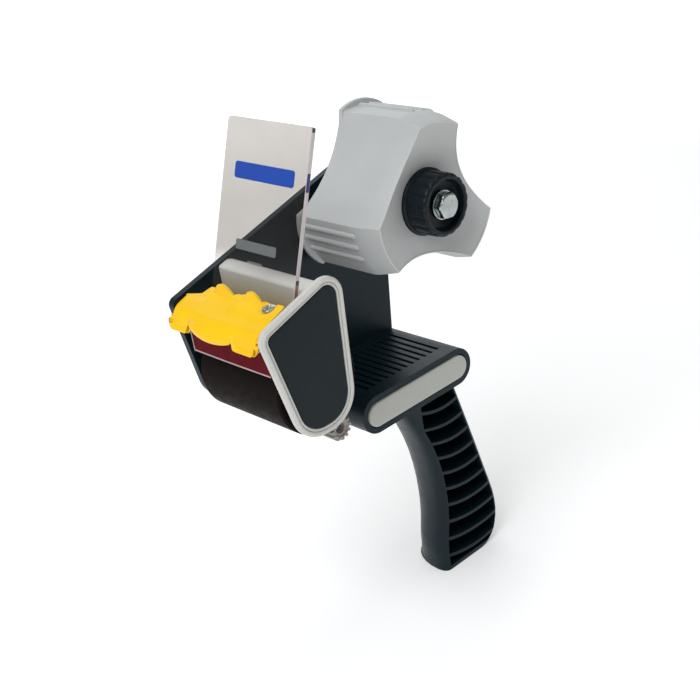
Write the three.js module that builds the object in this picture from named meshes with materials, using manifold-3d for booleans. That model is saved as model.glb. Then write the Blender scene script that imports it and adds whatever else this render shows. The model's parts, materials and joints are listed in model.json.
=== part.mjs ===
// Hand-held carton-sealing tape dispenser for 50 mm tape on a 76 mm core.
//
// Frame: the origin is the middle of the flat end of the handle, +Z runs up the handle, -X points to
// the cutting head and +Y points to the closed side, where the frame's side plate is. Lengths are in
// millimetres. The pieces are drawn around the roll axis (x = 0, z = 0, with y = 0 on the open end of
// the hub). The last group brings the drawing to full size and moves it to the origin on the handle.

import * as THREE from 'three';
import { mergeVertices } from 'three/addons/utils/BufferGeometryUtils.js';
import Module from 'manifold-3d';

const manifold = await Module();
manifold.setup();

// ---------------------------------------------------------------------------------------------
// Driving dimensions
// ---------------------------------------------------------------------------------------------

const fullSize = 1.05;               // brings the hub's 72.2 mm over its ribs to 75.8 mm, for a 76.2 mm core
const fit = 0.3;                     // gap kept between neighbouring solids

const lane = { near: -7.2, far: 48 };          // inner faces of the side cover and the side plate
const plateThickness = 3;
const plateOuter = lane.far + plateThickness;
const coverOuter = -10;

const hub = {
  radius: 35.1,                      // lobe radius without its ribs
  noseScale: 0.9145,                  // size of the open end against the full section
  noseLength: 10.3,
  length: 43.8,
  lobeHalfAngle: 19.6,               // degrees
  firstLobe: 78,                     // degrees from +X towards +Z
  sideRadius: 21.9,                  // axis to the middle of a hollow side
  earRadius: 22,                     // radius of the rounded stops at the closed end
  earReach: 37.7,
  earWidth: 25.2,
  earThickness: 2,
  ribHeight: 1,
  wall: 2.6,
  tube: 8.2,
  pocket: 11.2,                      // bore that holds the brake parts
  pocketDepth: 18,
};

const axle = { radius: 3, head: 9.5, headHeight: 3.1, headTop: -6.6, sleeve: 5 };

const knob = { flange: 13.6, body: 12.7, front: -5, back: 6.8, recess: 9.6, floor: -1.4, flutes: 18 };

const slab = { front: -49.6, rear: 13.8, bottom: -84.4, top: -68.1, near: 7, wall: 2.4,
  web: 1.8 };

const groove = { count: 12, pitch: 3.75, width: 1.5, depth: 1.2, start: 14, end: 43.5, last: 2.6 };

const endPanel = { inset: 2.6, proud: 0.7, depth: 3 };

const grip = {
  near: 9.3,
  waist: 15,                         // y where the far half of the section starts
  far: 34.5,
  end: -170.5,
  endMiddle: { x: -4.2, y: 20 },
  top: -82.5,
  frontArc: { x: -99.7, z: -133.4, radius: 88, heel: -158.5 },   // straight below the heel
  neck: -16.2,                       // the ribbed pocket starts behind this line under the tray
  rear: [[4.2, -78], [7.6, -91], [12.9, -111.4], [18.1, -131.8], [21.6, -145], [22.7, -153.2],
    [22.1, -159.8], [19.4, -166], [14.8, -169.6], [11.5, -170.5]],
  frontWall: 3.4,
  rearWall: 2.6,
  recessFloor: 24,
  ribCount: 10,
  ribPitch: 8.24,
  firstRib: -91.06,
  ribThickness: 1.5,
};

const roller = { x: -76.6, z: -44, radius: 19.1, sleeve: 4, near: -3.6, far: 43.8, axle: 4 };
const guide = { x: -67.2, z: -67.8, radius: 5.2, near: -1, far: 43.4, axle: 2, flutes: 12 };

// inner outline of the side cover's rim: x, z and corner radius
const rimInner = [[-99.45, -14.28, 2.5], [-64.8, -3.27, 5], [-67.9, -57.6, 11], [-89.2, -57.6, 10.5]];
const rimWidth = 3.1;
const rimRecess = -8.4;              // y of the web inside the rim

const bridge = { front: -74.8, wall: 2.2, skirt: -17.5, far: 47.6 };

const pin = { x: -87.5, z: -14.2, radius: 1.25 };
const guard = {
  near: -4.2, far: 47.2, rear: -84.3, rearTop: -8.35, front: -101.5, slope: 0.358, wall: 1.8,
  belly: 3, lobeFoot: -21.5, centreFoot: -20,
};

const shield = { length: 78.5, thickness: 1.8, near: -5, far: 42.5, tilt: 69, footX: -87.03, footZ: -24 };

// ---------------------------------------------------------------------------------------------
// Materials
// ---------------------------------------------------------------------------------------------

const finish = (color, roughness, metalness = 0) =>
  new THREE.MeshStandardMaterial({ color, roughness, metalness });

const navyPlastic = finish(0x232d32, 0.5);
const greyPlastic = finish(0xc8c9c6, 0.45);
const hubPlastic = finish(0xb9c0c4, 0.42);
const yellowPlastic = finish(0xffc928, 0.38);
const blackPlastic = finish(0x16191b, 0.55);
const zincSteel = finish(0xaab2af, 0.3, 0.9);
const brightSteel = finish(0xc2c6c8, 0.22, 1);
const brownRubber = finish(0x231e1c, 0.7);
const redRubber = finish(0x690f23, 0.5);
const fibre = finish(0x6b4a35, 0.85);
const clearSheet = finish(0xd8d6d0, 0.12);
clearSheet.transparent = true;
clearSheet.opacity = 0.35;

// ---------------------------------------------------------------------------------------------
// Solids: closed meshes from three.js geometries, cut and joined as manifolds
// ---------------------------------------------------------------------------------------------

function solid(geometry) {
  const bare = geometry.clone();
  bare.deleteAttribute('normal');
  bare.deleteAttribute('uv');
  const merged = mergeVertices(bare, 1e-4);
  return new manifold.Manifold(new manifold.Mesh({
    numProp: 3,
    vertProperties: new Float32Array(merged.attributes.position.array),
    triVerts: new Uint32Array(merged.index.array),
  }));
}

function meshOf(name, body, material) {
  const result = body.getMesh();
  const geometry = new THREE.BufferGeometry();
  geometry.setAttribute('position', new THREE.BufferAttribute(new Float32Array(result.vertProperties), 3));
  geometry.setIndex(new THREE.BufferAttribute(new Uint32Array(result.triVerts), 1));
  geometry.computeVertexNormals();
  const mesh = new THREE.Mesh(geometry, material);
  mesh.name = name;
  return mesh;
}

const join = (...bodies) => bodies.reduce((sum, body) => sum.add(body));
const cut = (body, ...tools) => tools.reduce((left, tool) => left.subtract(tool), body);

// Box between two corners.
function block(x0, y0, z0, x1, y1, z1) {
  const geometry = new THREE.BoxGeometry(x1 - x0, y1 - y0, z1 - z0);
  geometry.translate((x0 + x1) / 2, (y0 + y1) / 2, (z0 + z1) / 2);
  return solid(geometry);
}

// Round bar along Y, or a cone where the far radius differs.
function bar(x, z, radius, y0, y1, segments = 32, farRadius = radius) {
  const geometry = new THREE.CylinderGeometry(farRadius, radius, y1 - y0, segments);
  geometry.translate(x, (y0 + y1) / 2, z);
  return solid(geometry);
}

// Solid of revolution about a line along Y, from [radius, y] points that start and end on the line.
function turned(x, z, profile, segments = 48) {
  const points = profile.map(([radius, y]) => new THREE.Vector2(radius, y));
  const geometry = new THREE.LatheGeometry(points, segments);
  geometry.translate(x, 0, z);
  return solid(geometry);
}

// Outline drawn in the XZ plane, pushed along Y from y0 to y1.
function prism(shape, y0, y1, curveSegments = 8) {
  const geometry = new THREE.ExtrudeGeometry(shape, { depth: y1 - y0, bevelEnabled: false, curveSegments });
  geometry.rotateX(Math.PI / 2);
  geometry.translate(0, y1, 0);
  return solid(geometry);
}

// Closed outline from [x, z, radius] corners, each rounded by a tangent arc.
function roundedOutline(corners) {
  const shape = new THREE.Shape();
  corners.forEach(([x, z, radius = 0], index) => {
    const here = new THREE.Vector2(x, z);
    const before = corners.at(index - 1);
    const after = corners[(index + 1) % corners.length];
    const back = new THREE.Vector2(before[0], before[1]).sub(here).normalize();
    const ahead = new THREE.Vector2(after[0], after[1]).sub(here).normalize();
    const half = Math.acos(THREE.MathUtils.clamp(back.dot(ahead), -1, 1)) / 2;
    const draw = index === 0 ? 'moveTo' : 'lineTo';
    if (radius === 0) {
      shape[draw](x, z);
      return;
    }
    const reach = radius / Math.tan(half);
    const start = here.clone().addScaledVector(back, reach);
    const end = here.clone().addScaledVector(ahead, reach);
    const towards = back.clone().add(ahead).normalize();
    const centre = here.clone().addScaledVector(towards, radius / Math.sin(half));
    const clockwise = back.cross(ahead) > 0;
    const angle = (point) => Math.atan2(point.y - centre.y, point.x - centre.x);
    shape[draw](start.x, start.y);
    shape.absarc(centre.x, centre.y, radius, angle(start), angle(end), clockwise);
  });
  shape.closePath();
  return shape;
}

// Corners of a convex outline moved outwards (or inwards for a negative distance).
function offsetCorners(corners, distance) {
  const centre = new THREE.Vector2();
  corners.forEach(([x, z]) => centre.add(new THREE.Vector2(x, z).divideScalar(corners.length)));
  const edges = corners.map(([x, z], index) => {
    const [nextX, nextZ] = corners[(index + 1) % corners.length];
    const normal = new THREE.Vector2(nextZ - z, x - nextX).normalize();
    if (normal.dot(new THREE.Vector2(x, z).sub(centre)) < 0) normal.negate();
    return { normal, level: normal.x * x + normal.y * z + distance };
  });
  return corners.map(([, , radius = 0], index) => {
    const a = edges.at(index - 1);
    const b = edges[index];
    const det = a.normal.x * b.normal.y - a.normal.y * b.normal.x;
    const x = (a.level * b.normal.y - b.level * a.normal.y) / det;
    const z = (a.normal.x * b.level - b.normal.x * a.level) / det;
    return [x, z, Math.max(radius + distance, 0)];
  });
}

// Long slot outline with half-round ends.
const slot = (x0, x1, z0, z1) => {
  const radius = (z1 - z0) / 2 - 0.001;
  return roundedOutline([[x0, z0, radius], [x1, z0, radius], [x1, z1, radius], [x0, z1, radius]]);
};

const polar = (radius, degrees) => {
  const angle = THREE.MathUtils.degToRad(degrees);
  return [radius * Math.cos(angle), radius * Math.sin(angle)];
};

// Regular hexagon across the flats, in the XZ plane.
function hexagon(x, z, acrossFlats, turn = 0) {
  const corners = [];
  for (let side = 0; side < 6; side += 1) {
    const [dx, dz] = polar(acrossFlats / Math.sqrt(3), side * 60 + turn);
    corners.push([x + dx, z + dz]);
  }
  return roundedOutline(corners);
}

// Countersunk screw along Y with its flat head on the side plate's outer face.
function countersunkScrew(x, z, radius, head, tip) {
  const rim = plateOuter - 0.1;
  const sink = head - radius;
  return turned(x, z, [[0, tip], [radius * 0.6, tip], [radius, tip + 1.5], [radius, rim - sink],
    [head, rim], [0, rim]], 20);
}

const countersink = (x, z, radius, head) => turned(x, z, [[0, lane.far - 1], [radius + fit, lane.far - 1],
  [radius + fit, plateOuter - (head - radius)], [head + fit, plateOuter], [head + fit, plateOuter + 1],
  [0, plateOuter + 1]], 20);

// Helical spring about a line along Y.
function coil(x, z, meanRadius, wire, y0, y1, turns) {
  class Helix extends THREE.Curve {
    getPoint(t, target = new THREE.Vector3()) {
      const angle = t * turns * 2 * Math.PI;
      return target.set(x + meanRadius * Math.cos(angle), y0 + (y1 - y0) * t, z + meanRadius * Math.sin(angle));
    }
  }
  const section = new THREE.Shape();
  section.absarc(0, 0, wire / 2, 0, 2 * Math.PI, false);
  const options = { extrudePath: new Helix(), steps: Math.round(turns * 11), curveSegments: 3, bevelEnabled: false };
  return solid(new THREE.ExtrudeGeometry(section, options));
}

// ---------------------------------------------------------------------------------------------
// Frame: side plate, paper-roll tray and handle in one moulding
// ---------------------------------------------------------------------------------------------

const screws = {
  cover: { x: -69.8, z: -10.6, radius: 1.7, head: 3.2 },
  block: { x: -91.2, z: -23.4, radius: 1.7, head: 3.2 },
  roller: { x: roller.x, z: roller.z, radius: 2.2, head: 4 },
};

const gripFront = (z) => {
  const { x, z: middle, radius, heel } = grip.frontArc;
  return x + Math.sqrt(radius ** 2 - (Math.max(z, heel) - middle) ** 2);
};

const rearCurve = new THREE.SplineCurve(grip.rear.map(([x, z]) => new THREE.Vector2(x, z)));
const rearPoints = rearCurve.getPoints(120);

function gripRear(z) {
  const index = Math.max(rearPoints.findIndex((point) => point.y <= z), 1);
  const above = rearPoints[index - 1];
  const below = rearPoints[index];
  const t = (above.y - z) / (above.y - below.y);
  return THREE.MathUtils.lerp(above.x, below.x, t);
}

// Handle body: a flat open side and a rounded closed side, swept down between the two profiles.
function gripBody() {
  const section = new THREE.Shape();
  section.moveTo(0.13, grip.near);
  section.lineTo(0.89, grip.near);
  section.quadraticCurveTo(1, grip.near, 1, grip.waist);
  section.absellipse(0.5, grip.waist, 0.5, grip.far - grip.waist, 0, Math.PI, false);
  section.quadraticCurveTo(0, grip.near, 0.13, grip.near);
  const levels = [grip.end, -170, -169, -167.5, -165.5, -163, -160, -156, -151, -146, -140, -132, -124, -115,
    -106, -97, -88, grip.top];
  const steps = levels.length - 1;
  const geometry = new THREE.ExtrudeGeometry(section, { depth: 1, steps, bevelEnabled: false, curveSegments: 7 });
  const position = geometry.attributes.position;
  for (let index = 0; index < position.count; index += 1) {
    const z = levels[Math.round(position.getZ(index) * steps)];
    const x = THREE.MathUtils.lerp(gripFront(z), gripRear(z), position.getX(index));
    position.setXYZ(index, x, position.getY(index), z);
  }
  return solid(geometry);
}

// Height of a rib of the handle at a fraction of the way back; ribs hang in a shallow curve.
const ribHeight = (index, back) =>
  grip.firstRib - grip.ribPitch * index + 2.1 - 9.35 * back + 7.25 * back ** 2;

// Pocket in the open side of the handle, between two ribs.
function gripRecess(index) {
  const samples = 8;
  const half = grip.ribThickness / 2;
  const floor = grip.end + 1.8;
  const edge = (height) => {
    const points = [];
    for (let step = 0; step <= samples; step += 1) {
      const back = step / samples;
      const z = THREE.MathUtils.clamp(height(back), floor, slab.bottom - 1.6);
      const x0 = Math.max(gripFront(z) + grip.frontWall, grip.neck);
      const x1 = gripRear(z) - grip.rearWall;
      points.push(new THREE.Vector2(THREE.MathUtils.lerp(x0, x1, back), z));
    }
    return points;
  };
  const top = edge((back) => ribHeight(index - 1, back) - half);
  const bottom = edge((back) => ribHeight(index, back) + half);
  return prism(new THREE.Shape([...bottom, ...top.reverse()]), grip.near - 1, grip.recessFloor);
}

function mainFrame() {
  const plate = prism(roundedOutline([
    [-98.6, -12.4, 3], [-90.6, -59.6, 13], [-75.6, -59.6, 3], [-73.2, -74.6, 5], [-61.2, -74.6, 5],
    [-52, slab.bottom, 4], [0, slab.bottom, 0], [8, -76, 0], [18.1, 20.1, 14],
  ]), lane.far, plateOuter, 6);
  const tray = prism(slot(slab.front, slab.rear, slab.bottom, slab.top), slab.near, plateOuter, 10);
  const hollowFront = slab.front + slab.wall;
  const cell = (slab.rear - slab.wall - hollowFront - 2 * slab.web) / 3;
  const hollowOutline = slot(hollowFront, slab.rear - slab.wall, slab.bottom + slab.wall, slab.top - slab.wall);
  const webs = [1, 2].map((count) => {
    const end = hollowFront + count * (cell + slab.web);
    return block(end - slab.web, slab.near + endPanel.depth + fit, slab.bottom, end, lane.far, slab.top);
  });
  const trayHollow = cut(prism(hollowOutline, slab.near - 1, lane.far - 3, 10), ...webs);
  const boss = bar(0, 0, 12, hub.length + 0.4, lane.far + 1, 40);
  const nutPocket = prism(hexagon(0, 0, axle.head + 0.6, 30), lane.far - 1.8, plateOuter + 1);
  const grooves = [];
  for (let index = 0; index < groove.count; index += 1) {
    const x = groove.last - groove.pitch * index;
    grooves.push(block(x - groove.width / 2, groove.start, slab.top - groove.depth,
      x + groove.width / 2, groove.end, slab.top + 1));
  }
  const recesses = [];
  for (let index = 0; index <= grip.ribCount; index += 1) {
    recesses.push(gripRecess(index));
  }
  const handle = cut(gripBody(), ...recesses);
  const shell = cut(join(plate, tray, boss), trayHollow);
  return cut(join(shell, handle), nutPocket, ...grooves,
    bar(0, 0, axle.radius + fit, 40, 60),
    bar(pin.x, pin.z, pin.radius + fit, 46, 60, 16),
    bar(guide.x, guide.z, guide.axle + fit, 46, 60, 20),
    ...Object.values(screws).map(({ x, z, radius, head }) => countersink(x, z, radius, head)));
}

function trayEndPanel() {
  const outline = (gap) => slot(slab.front + endPanel.inset + gap, slab.rear - endPanel.inset - gap,
    slab.bottom + endPanel.inset + gap, slab.top - endPanel.inset - gap);
  return prism(outline(fit), slab.near - endPanel.proud, slab.near + endPanel.depth, 10);
}

// ---------------------------------------------------------------------------------------------
// Side cover: raised rim, thin web and the bridge that reaches across to the side plate
// ---------------------------------------------------------------------------------------------

function sideCover() {
  const body = prism(roundedOutline(offsetCorners(rimInner, rimWidth)), coverOuter, lane.near, 8);
  const recess = prism(roundedOutline(rimInner), coverOuter - 1, rimRecess, 8);
  const [, rearTop] = rimInner;
  const topLine = (x) => rearTop[1] + (x - rearTop[0]) * 0.318;
  const bridgeSection = (inset, skirt) => roundedOutline([
    [bridge.front + inset, skirt], [rearTop[0] - 0.75 - inset, skirt, 0],
    [rearTop[0] - inset, rearTop[1] - inset * 1.35, Math.max(5 - inset, 0)],
    [bridge.front + inset, topLine(bridge.front) - inset, Math.max(1.2 - inset, 0)],
  ]);
  const outer = prism(bridgeSection(0, bridge.skirt), lane.near - 0.5, bridge.far, 6);
  const inner = prism(bridgeSection(bridge.wall, bridge.skirt - 1), lane.near, bridge.far + 1, 6);
  const boss = block(bridge.front + 1, 34, -14.5, -66.5, bridge.far, -7.6);
  const screwHole = bar(screws.cover.x, screws.cover.z, screws.cover.radius + fit, 36, 60, 16);
  return cut(join(body, cut(outer, inner), boss.subtract(screwHole)), recess,
    bar(roller.x, roller.z, roller.axle - 1 + fit, -12, 0, 24),
    bar(pin.x, pin.z, pin.radius + fit, -12, 0, 16),
    block(-93.3, -12, -25.3, -89.7, 0, -21.7), screwHole);
}

const sidePanel = () => prism(roundedOutline(offsetCorners(rimInner, -fit)), coverOuter + 0.5, rimRecess - fit, 8);

// ---------------------------------------------------------------------------------------------
// Cutting head: cross block, blade, guard, shield and wiper
// ---------------------------------------------------------------------------------------------

// Top of the cross block, which the blade lies on.
const blockTop = (x) => -17.6 + (x + 85.5) * 0.2527;
// Gap along X between the shield's middle plane and a part that clears its face.
const shieldGap = (shield.thickness / 2 + fit) / Math.sin(THREE.MathUtils.degToRad(shield.tilt));
// Middle plane of the shield at a height.
const shieldX = (z) => shield.footX + (z - shield.footZ) / Math.tan(THREE.MathUtils.degToRad(shield.tilt));

function headBlock() {
  const outline = roundedOutline([
    [shieldX(-17.6) - shieldGap, -17.6], [-94.6, blockTop(-94.6)], [-94.6, -27.5, 1], [-91.5, -27.5, 1],
    [shieldX(-24.5) - shieldGap, -24.5, 0.8],
  ]);
  const tenon = block(-93, rimRecess + 0.1, -25, -90, lane.near + 1, -22);
  const body = join(prism(outline, lane.near + fit, lane.far - fit, 3), tenon);
  return cut(body, bar(screws.block.x, screws.block.z, screws.block.radius + fit, 38, 60, 16),
    ...bladeScrewPlaces.map((y) => upright(-92, y, 1.2 + fit, -24, -10, 16)),
    ...clampScrewPlaces.map((y) => slanted(y, 1 + fit, -4, 4)));
}

const bladeScrewPlaces = [7, 35];
const clampScrewPlaces = [10, 31];

// Round bar square to the blade, through a point of the block's top.
function upright(x, y, radius, z0, z1, segments) {
  const geometry = new THREE.CylinderGeometry(radius, radius, z1 - z0, segments);
  geometry.translate(0, (z0 + z1) / 2 - blockTop(x), 0);
  geometry.rotateX(Math.PI / 2);
  geometry.rotateY(-Math.atan(0.2527));
  geometry.translate(x, y, blockTop(x));
  return solid(geometry);
}

// Round bar square to the shield, through its foot.
function slanted(y, radius, back, ahead, segments = 16) {
  const z = -21;
  const geometry = new THREE.CylinderGeometry(radius, radius, ahead - back, segments);
  geometry.translate(0, (ahead + back) / 2, 0);
  geometry.rotateZ(-Math.PI / 2);
  geometry.rotateY(Math.PI / 2 - THREE.MathUtils.degToRad(shield.tilt));
  geometry.translate(shieldX(z), y, z);
  return solid(geometry);
}

// Steel strip with a row of teeth along its front edge.
function cuttingBlade() {
  const near = -4;
  const teeth = 21;
  const pitch = 2.4;
  const root = 8.2;
  const tip = 10.6;
  const shape = new THREE.Shape();
  shape.moveTo(1.4, near);
  shape.lineTo(root, near);
  for (let tooth = 0; tooth < teeth; tooth += 1) {
    shape.lineTo(tip, near + (tooth + 0.5) * pitch);
    shape.lineTo(root, near + (tooth + 1) * pitch);
  }
  shape.lineTo(1.4, near + teeth * pitch);
  shape.closePath();
  const geometry = new THREE.ExtrudeGeometry(shape, { depth: 0.8, bevelEnabled: false });
  geometry.scale(-1, 1, 1);
  const index = geometry.index;
  if (index) index.array.reverse();
  else flipFaces(geometry);
  geometry.translate(0, 0, fit);
  geometry.rotateY(-Math.atan(0.2527));
  geometry.translate(-89, 0, blockTop(-89));
  return cut(solid(geometry), ...bladeScrewPlaces.map((y) => upright(-92, y, 1.2 + fit, -24, -10, 16)));
}

// A mirrored, unindexed geometry has its faces turned back outwards.
function flipFaces(geometry) {
  const position = geometry.attributes.position;
  for (let corner = 0; corner < position.count; corner += 3) {
    const first = new THREE.Vector3().fromBufferAttribute(position, corner);
    const last = new THREE.Vector3().fromBufferAttribute(position, corner + 2);
    position.setXYZ(corner, ...last.toArray());
    position.setXYZ(corner + 2, ...first.toArray());
  }
}

function bladeScrew(y) {
  const top = blockTop(-92);
  const seat = top + 0.8 + 2 * fit;
  return join(upright(-92, y, 1.2, top - 4, seat + 0.5, 16), upright(-92, y, 2.2, seat, seat + 1.2, 20));
}

// Guard: a thin hood over the blade with two low lobes, a bowed middle and two finger tabs.
function bladeGuard() {
  const top = (x, drop) => guard.rearTop + (x - guard.rear) * guard.slope - drop;
  const side = (inset, foot) => roundedOutline([
    [guard.rear + (inset ? 1 : 0), foot], [guard.front - guard.belly + inset, foot],
    [guard.front - guard.belly + inset, top(guard.front - guard.belly, inset), inset ? 1 : 2.5],
    [guard.rear + (inset ? 1 : 0), top(guard.rear, inset)],
  ]);
  const plan = (inset) => {
    const front = guard.front + inset;
    const shape = new THREE.Shape();
    shape.moveTo(guard.rear + 2, guard.near + inset);
    shape.lineTo(guard.rear + 2, 39.2 - inset);
    shape.lineTo(-88.7, 40.6 - inset);
    shape.lineTo(-90.6 - inset, 45.4 - inset);
    shape.lineTo(-90.6 - inset, guard.far - inset);
    shape.lineTo(front, guard.far - inset);
    shape.lineTo(front, 35);
    shape.quadraticCurveTo(front - guard.belly * 2, 23.5, front, 12);
    shape.lineTo(front, guard.near + inset);
    shape.closePath();
    const geometry = new THREE.ExtrudeGeometry(shape, { depth: 30, bevelEnabled: false, curveSegments: 10 });
    geometry.translate(0, 0, -30);
    return solid(geometry);
  };
  const outer = prism(side(0, guard.lobeFoot), guard.near, guard.far, 4).intersect(plan(0));
  const inner = prism(side(guard.wall, guard.lobeFoot - 1), guard.near - 1, guard.far + 1, 4)
    .intersect(plan(guard.wall));
  const underside = prism(new THREE.Shape([
    [-80, -13.5], [guard.rear, -13.5], [-85.6, -16.3], [pin.x, -17.1], [-99.5, -17.3], [-99.5, -26], [-80, -26],
  ].map(([x, z]) => new THREE.Vector2(x, z))), guard.near - 1, guard.far + 1);
  const notch = (y0, y1, foot) => block(guard.front - 5, y0, foot - 10, guard.front + 3, y1, foot);
  const tab = (y0, tip, y1) => {
    const shape = new THREE.Shape();
    shape.moveTo(y0, -9);
    shape.quadraticCurveTo(tip - 4, -8.2, tip - 1.5, -5.6);
    shape.quadraticCurveTo(tip, -4.8, tip + 1.5, -5.6);
    shape.quadraticCurveTo(y1 - 1.5, -8, y1, -9);
    shape.lineTo(y1, -10.4);
    shape.lineTo(y0, -10.4);
    shape.closePath();
    const geometry = new THREE.ExtrudeGeometry(shape, { depth: guard.wall, bevelEnabled: false, curveSegments: 5 });
    geometry.rotateX(Math.PI / 2);
    geometry.rotateZ(Math.PI / 2);
    geometry.translate(guard.rear - guard.wall, 0, 0);
    return solid(geometry);
  };
  const screwHole = onGuard(bar(0, 0, 1.3, -6, 4, 16));
  return cut(join(cut(outer, inner, underside), tab(21.5, 31, 36.5), tab(4.8, 13, 18)),
    notch(9.5, 12, -18.6), notch(35, 38.5, -18.6), notch(12, 35, guard.centreFoot),
    bar(pin.x, pin.z, pin.radius + fit, -12, 60, 16), screwHole);
}

const guardScrew = { x: -87.4, y: 2.6 };

// A body drawn along Y from the guard's top face is stood up on that sloping face.
const onGuard = (body) => body.rotate([90, 0, 0])
  .rotate([0, -THREE.MathUtils.radToDeg(Math.atan(guard.slope)), 0])
  .translate([guardScrew.x, guardScrew.y, guard.rearTop + (guardScrew.x - guard.rear) * guard.slope]);

const guardScrewBody = () => onGuard(turned(0, 0, [[0, -3.4], [1, -3.4], [1, fit], [2.6, fit], [2.4, 1.2],
  [0, 1.6]], 24));

function flatShield() {
  const geometry = new THREE.BoxGeometry(shield.thickness, shield.far - shield.near, shield.length);
  geometry.translate(0, (shield.near + shield.far) / 2, shield.length / 2);
  geometry.rotateY(Math.PI / 2 - THREE.MathUtils.degToRad(shield.tilt));
  geometry.translate(shield.footX, 0, shield.footZ);
  return cut(solid(geometry), ...clampScrewPlaces.map((y) => slanted(y, 1 + fit, -4, 5)));
}

function shieldClamp() {
  const geometry = new THREE.BoxGeometry(1.2, 40, 6);
  geometry.translate(shield.thickness / 2 + fit + 0.6, 20, 4);
  geometry.rotateY(Math.PI / 2 - THREE.MathUtils.degToRad(shield.tilt));
  geometry.translate(shield.footX, 0, shield.footZ);
  return cut(solid(geometry), ...clampScrewPlaces.map((y) => slanted(y, 1 + fit, -4, 5)));
}

const clampScrew = (y) => join(slanted(y, 1, -3.6, 3), slanted(y, 2, 2.4 + fit, 3.8, 20));

const wiperFlap = () => block(-96.1, -2.5, -32.3, -94.9, 43.5, -20.6);

// ---------------------------------------------------------------------------------------------
// Rollers
// ---------------------------------------------------------------------------------------------

function rollerSleeve() {
  const { x, z, radius, sleeve, near, far } = roller;
  return cut(turned(x, z, [[0, near], [radius - 0.8, near], [radius, near + 0.8], [radius, far - 0.8],
    [radius - 0.8, far], [0, far]], 56), bar(x, z, radius - sleeve, near - 1, far + 1, 40));
}

function rollerCore() {
  const { x, z, radius, sleeve, near, far } = roller;
  const outer = radius - sleeve - fit;
  const inside = outer - 2;
  const tube = roller.axle + 2;
  const hollow = (y0, y1) => cut(bar(x, z, inside, y0, y1, 32), bar(x, z, tube, y0 - 1, y1 + 1, 20));
  return cut(bar(x, z, outer, near + 0.3, far - 0.3, 40), hollow(near - 1, 18), hollow(22, far + 1),
    bar(x, z, roller.axle + fit, near - 1, far + 1, 24));
}

function rollerAxle() {
  const { x, z } = roller;
  const radius = roller.axle;
  const end = rimRecess + 0.1;
  const body = turned(x, z, [[0, end], [radius - 1, end], [radius - 1, lane.near + fit], [radius, lane.near + fit],
    [radius, lane.far - fit], [0, lane.far - fit]], 24);
  return cut(body, bar(x, z, screws.roller.radius + fit, 37, 60, 16));
}

function guideRoller() {
  const { x, z, radius, near, far, flutes } = guide;
  const blindEnd = near + 2.5;
  const body = turned(x, z, [[0, near], [radius - 1, near], [radius, near + 1], [radius, far - 1],
    [radius - 1, far], [0, far]], 36);
  const cuts = [];
  for (let flute = 0; flute < flutes; flute += 1) {
    const [dx, dz] = polar(radius + 0.35, flute * 360 / flutes);
    cuts.push(bar(x + dx, z + dz, 0.85, near - 1, far + 1, 8));
  }
  return cut(body, bar(x, z, guide.axle + fit, blindEnd, far + 1, 20), ...cuts);
}

const guideAxle = () => turned(guide.x, guide.z, [[0, guide.near + 3], [guide.axle - 0.4, guide.near + 3],
  [guide.axle, guide.near + 3.4], [guide.axle, plateOuter - 0.3], [0, plateOuter - 0.3]], 20);

// ---------------------------------------------------------------------------------------------
// Roll hub and its brake
// ---------------------------------------------------------------------------------------------

// Three-lobed section: each lobe is an arc, each side a shallow hollow between two lobes.
function hubSection(inset = 0) {
  const shape = new THREE.Shape();
  const radius = hub.radius - inset;
  for (let lobe = 0; lobe < 3; lobe += 1) {
    const middle = hub.firstLobe + lobe * 120;
    const half = hub.lobeHalfAngle - inset * 1.4;
    const from = THREE.MathUtils.degToRad(middle - half);
    const to = THREE.MathUtils.degToRad(middle + half);
    if (lobe === 0) shape.moveTo(...polar(radius, middle - half));
    shape.absarc(0, 0, radius, from, to, false);
    const reach = 2 * (hub.sideRadius - inset) - radius * Math.cos(Math.PI / 3 - (to - from) / 2);
    const control = polar(reach, middle + 60);
    shape.quadraticCurveTo(...control, ...polar(radius, middle + 120 - half));
  }
  return shape;
}

// Hub body: the section shrinks over the nose, so that a core slides on easily.
function hubBody() {
  const levels = [0, hub.noseLength, hub.length - 0.5];
  const steps = levels.length - 1;
  const geometry = new THREE.ExtrudeGeometry(hubSection(), { depth: 1, steps, bevelEnabled: false, curveSegments: 6 });
  const position = geometry.attributes.position;
  for (let index = 0; index < position.count; index += 1) {
    const y = levels[Math.round(position.getZ(index) * steps)];
    const t = Math.min(y / hub.noseLength, 1);
    const scale = THREE.MathUtils.lerp(hub.noseScale, 1, t);
    position.setXYZ(index, position.getX(index) * scale, -y, position.getY(index) * scale);
  }
  geometry.scale(1, -1, 1);
  flipFaces(geometry);
  return solid(geometry);
}

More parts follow.
